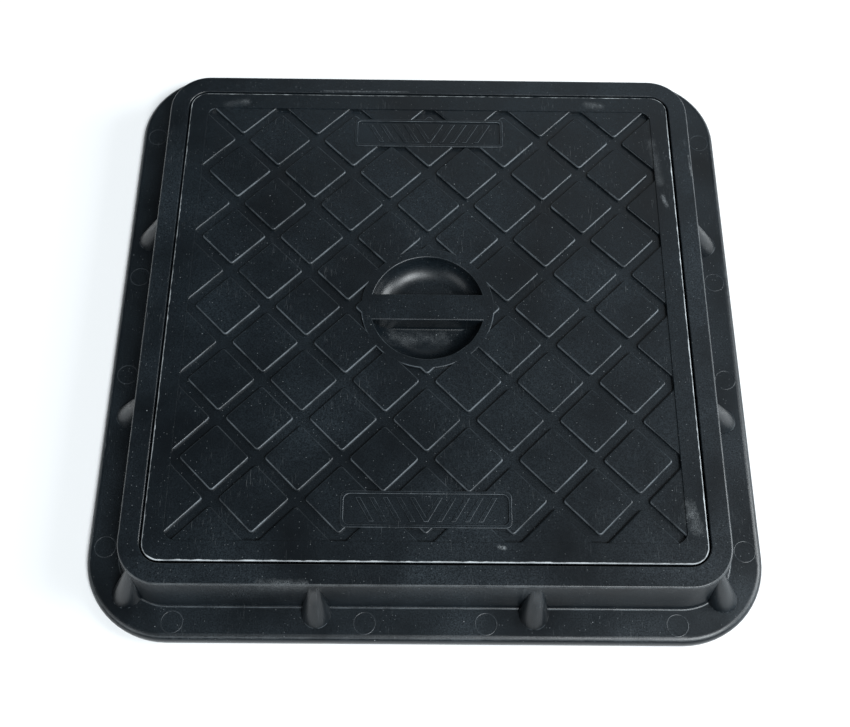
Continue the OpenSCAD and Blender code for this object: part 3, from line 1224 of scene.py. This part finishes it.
    def hollow(self) -> Piece:
        """The space inside the wall, open underneath, as a solid to cut out.

        Returns:
            The cutter.
        """
        t = self.wall_t
        size = 2 * (self.foot - t)
        cutter = rounded_block("hollow", (size, size), -1 * MM, self.flange_t, self.rim_r + self.lean - t, 12)
        pick(cutter, Kind.FACE, lambda f: f.normal.z > 0.9)
        inset(self.lean, self.wall_h - t)
        done(cutter)
        inner = self.core + self.rim_r - self.rim
        wide = 2 * (inner + t)
        keep = rounded_block("keep", (wide, wide), self.seat - self.seat_t, self.top, inner + t - self.core)
        combine(cutter, done(keep), Side.CUT)
        mouth = inner - self.seat_w + t
        keep = rounded_block("keep", (2 * mouth, 2 * mouth), -2 * MM, self.top, self.mouth_r + t)
        combine(cutter, done(keep), Side.CUT)
        size = (self.web_t, 4 * self.core)
        for i in range(self.webs):
            x = (i - (self.webs - 1) / 2) * 2 * self.core / self.webs
            combine(cutter, settle(self.web(size), (x, 0, 0)), Side.CUT)
            combine(cutter, settle(self.web(size[::-1]), (0, x, 0)), Side.CUT)
        for k in (1, -1):
            combine(cutter, settle(self.web(size), turn=k * math.pi / 4), Side.CUT)
        return cutter

    def web(self, size: Spot) -> Piece:
        """One web under the flange, taller than the frame, of a length along X and Y."""
        return done(rounded_block("web", size, -2 * MM, self.top + 1 * MM, self.web_r, 1))

    def finish(self) -> MouldedPolypropylene:
        """The frame's plastic, with painted highlights along its top edge and flange edge and at one flange
        corner, and the scuffs it has picked up.

        Returns:
            The finish.
        """
        rim_half = self.core + self.rim_r
        in_by = 0.6 * MM
        # painted highlight along the frame's top outer edge
        top = PaleEdge(rim_half - in_by, self.rim_r - in_by, self.top - 1.5 * MM, self.top, 0.6 * MM, 0.1)
        edge = self.flange_t - self.flange_edge * 0.3
        radius = self.outer - self.core
        # painted highlight along the flange's rounded outer edge
        flange = PaleEdge(self.outer - 3 * MM, radius - 3 * MM, edge - 1 * MM, self.flange_t, 0.8 * MM, 0.07)
        pale_smears = (
            PaleSmear((-0.130, -0.2420), (-0.095, -0.2425), 4 * MM, 0.3),
            PaleSmear((-0.100, 0.2290), (-0.020, 0.2290), 1.2 * MM, 0.35),
            # painted highlight: bright spots on the flange's front-left corner edge
            PaleSmear((-0.276, -0.235), (-0.263, -0.258), 3 * MM, 0.5),
            PaleSmear((0.2415, 0.160), (0.2425, 0.138), 1.2 * MM, 0.7),
        )
        return MouldedPolypropylene("polypropylene_moulded_frame", (top, flange), pale_smears, dusty="#2c363d")

    def build(self) -> Piece:
        """Builds the whole frame as one closed moulding.

        Returns:
            The frame.
        """
        shell = self.shell()
        mouth = self.core + self.rim_r - self.rim - self.seat_w
        hole = rounded_block("hole", (2 * mouth, 2 * mouth), -5 * MM, self.seat - 1 * MM, self.mouth_r)
        combine(shell, done(hole), Side.CUT)
        for g in self.gussets():
            combine(shell, g, Side.ADD)
        combine(shell, self.hollow(), Side.CUT)
        for m in self.marks():
            combine(shell, m, Side.ADD)
        return moulding(shell, "frame_moulding", self.rubbed)

    def rubbed(self, centre: Vector, normal: Vector) -> float:
        """The moulding marks and the foot of the wall and of each gusset are pale.

        Args:
            centre: of a face.
            normal: of the face.

        Returns:
            How pale it is, from 0 to 1.
        """
        above = centre.z - self.flange_t
        if not 0.02 * MM < above < 0.25 * MM or normal.z < 0.2:
            return 0.0
        along, out = sorted((abs(centre.x), abs(centre.y)))
        on_mark = any(abs(along - spot) < self.mark_r + 1 * MM for spot in self.mark_places)
        return self.rubbed_mark if on_mark and out > self.foot + 4 * MM else self.rubbed_foot


# ---------------------------------------------------------------- studio


@dataclass(frozen=True)
class Lamp:
    """A soft square light: where it hangs and how wide it is, in metres, and its watts."""

    name: str
    place: Place
    size: float
    power: float


@dataclass
class Studio:
    """Pale floor, soft lights and the camera."""

    eye: Place = (-3.33 * MM, -421.98 * MM, 883.56 * MM)
    lens: float = 45.35
    shift: Spot = (-0.00904, 0.00855)
    elevation: float = 66.522
    azimuth: float = 1.269
    roll: float = 1.691
    tint: Place = (0.92, 0.97, 1.0)
    room: float = 0.04
    beyond: float = 0.9
    lit: Place = (0, 0, 0.05)
    key_place: Place = (1.0, -1.2, 2.2)
    key_angle: float = math.radians(26)
    key_strength: float = 3.3
    fills: Tuple[Lamp, ...] = (
        Lamp("side", (2.2, 0.0, 1.2), 1.2, 52),
        Lamp("back_side", (1.2, 0.9, 2.0), 1.6, 2.2),
        Lamp("front", (-1.6, -1.2, 1.4), 1.2, 10),
        Lamp("back", (0.3, 1.8, 1.6), 1.4, 3),
    )
    floor_size: float = 40
    floor_drop: float = 0.2 * MM

    def camera(self) -> None:
        """Places the camera."""
        data = bpy.data.cameras.new("camera")
        data.sensor_width = 36.0
        data.lens = self.lens
        data.shift_x, data.shift_y = self.shift
        data.clip_end = 50
        camera = bpy.data.objects.new("camera", data)
        bpy.context.scene.collection.objects.link(camera)
        el, az, ro = (math.radians(v) for v in (self.elevation, self.azimuth, self.roll))
        ahead = Vector((math.sin(az) * math.cos(el), math.cos(az) * math.cos(el), -math.sin(el)))
        right = Vector((math.cos(az), -math.sin(az), 0))
        up = right.cross(ahead)
        right, up = right * math.cos(ro) + up * math.sin(ro), up * math.cos(ro) - right * math.sin(ro)
        basis = Matrix((right, up, -ahead)).transposed().to_4x4()
        camera.matrix_world = Matrix.Translation(self.eye) @ basis
        bpy.context.scene.camera = camera

    def floor(self) -> None:
        """Lays the pale floor."""
        bpy.ops.object.select_all(action="DESELECT")
        bpy.ops.mesh.primitive_plane_add(size=self.floor_size, location=(0, 0, -self.floor_drop))
        floor = done(begin("floor"))
        made = bpy.data.materials.new("floor_paper")
        made.use_nodes = True
        shader = made.node_tree.nodes["Principled BSDF"]
        shader.inputs["Base Color"].default_value = colour("#f4f4f4")
        shader.inputs["Roughness"].default_value = 0.9
        floor.data.materials.append(made)
        floor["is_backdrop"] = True

    def aim(self, name: str, data: bpy.types.Light, place: Place, power: float) -> None:
        """Hangs a light and aims it at the middle of the lid.

        Args:
            name: the light's name.
            data: its settings.
            place: where it hangs, in metres.
            power: in watts, or for a sun in watts a square metre.
        """
        data.energy = power
        data.color = self.tint
        lamp = bpy.data.objects.new(name, data)
        bpy.context.scene.collection.objects.link(lamp)
        lamp.location = place
        lamp.rotation_euler = (Vector(self.lit) - Vector(place)).to_track_quat("-Z", "Y").to_euler()

    def lights(self) -> None:
        """Hangs the soft key light, as wide as a far-off softbox, and four weak soft fills."""
        key = bpy.data.lights.new("key", "SUN")
        key.angle = self.key_angle
        self.aim("key", key, self.key_place, self.key_strength)
        for lamp in self.fills:
            fill = bpy.data.lights.new(lamp.name, "AREA")
            fill.shape = "SQUARE"
            fill.size = lamp.size
            self.aim(lamp.name, fill, lamp.place, lamp.power)

    def backdrop(self) -> None:
        """Makes the room dim, and the backdrop beyond the floor as pale as the floor."""
        world = bpy.data.worlds.new("studio")
        world.use_nodes = True
        bpy.context.scene.world = world
        tree = world.node_tree
        tree.nodes.clear()
        seen = node(tree, "LightPath", {})["Is Camera Ray"]
        links = {"Value": seen, "To Min": self.room, "To Max": self.beyond}
        strength = node(tree, "MapRange", links)[0]
        pale = node(tree, "Background", {"Color": (*self.tint, 1), "Strength": strength})
        node(tree, "OutputWorld", {"Surface": pale[0]})

    def build(self) -> None:
        """Sets up the camera, the floor, the lights and the backdrop."""
        self.camera()
        self.floor()
        self.lights()
        self.backdrop()
        bpy.context.scene.view_settings.view_transform = "Standard"


def triangles(piece: Piece) -> int:
    """Counts a piece's triangles."""
    piece.data.calc_loop_triangles()
    return len(piece.data.loop_triangles)


def main() -> None:
    """Builds every piece in order and reports it."""
    logging.basicConfig(level=logging.INFO, format="%(message)s")
    sizes: Dict[str, List[List[float]]] = {}
    write_box("cad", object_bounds(), sizes)
    Studio().build()
    for sub, old in ((Lid(), "lid"), (Frame(), "frame")):
        piece = sub.build()
        piece.data.materials.clear()
        piece.data.materials.append(sub.finish().material())
        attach(piece, sub.body)
        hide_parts(old)
        log.info("%s: %d triangles", piece.name, triangles(piece))
    write_box("visual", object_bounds(), sizes)


if __name__ == "__main__":
    main()
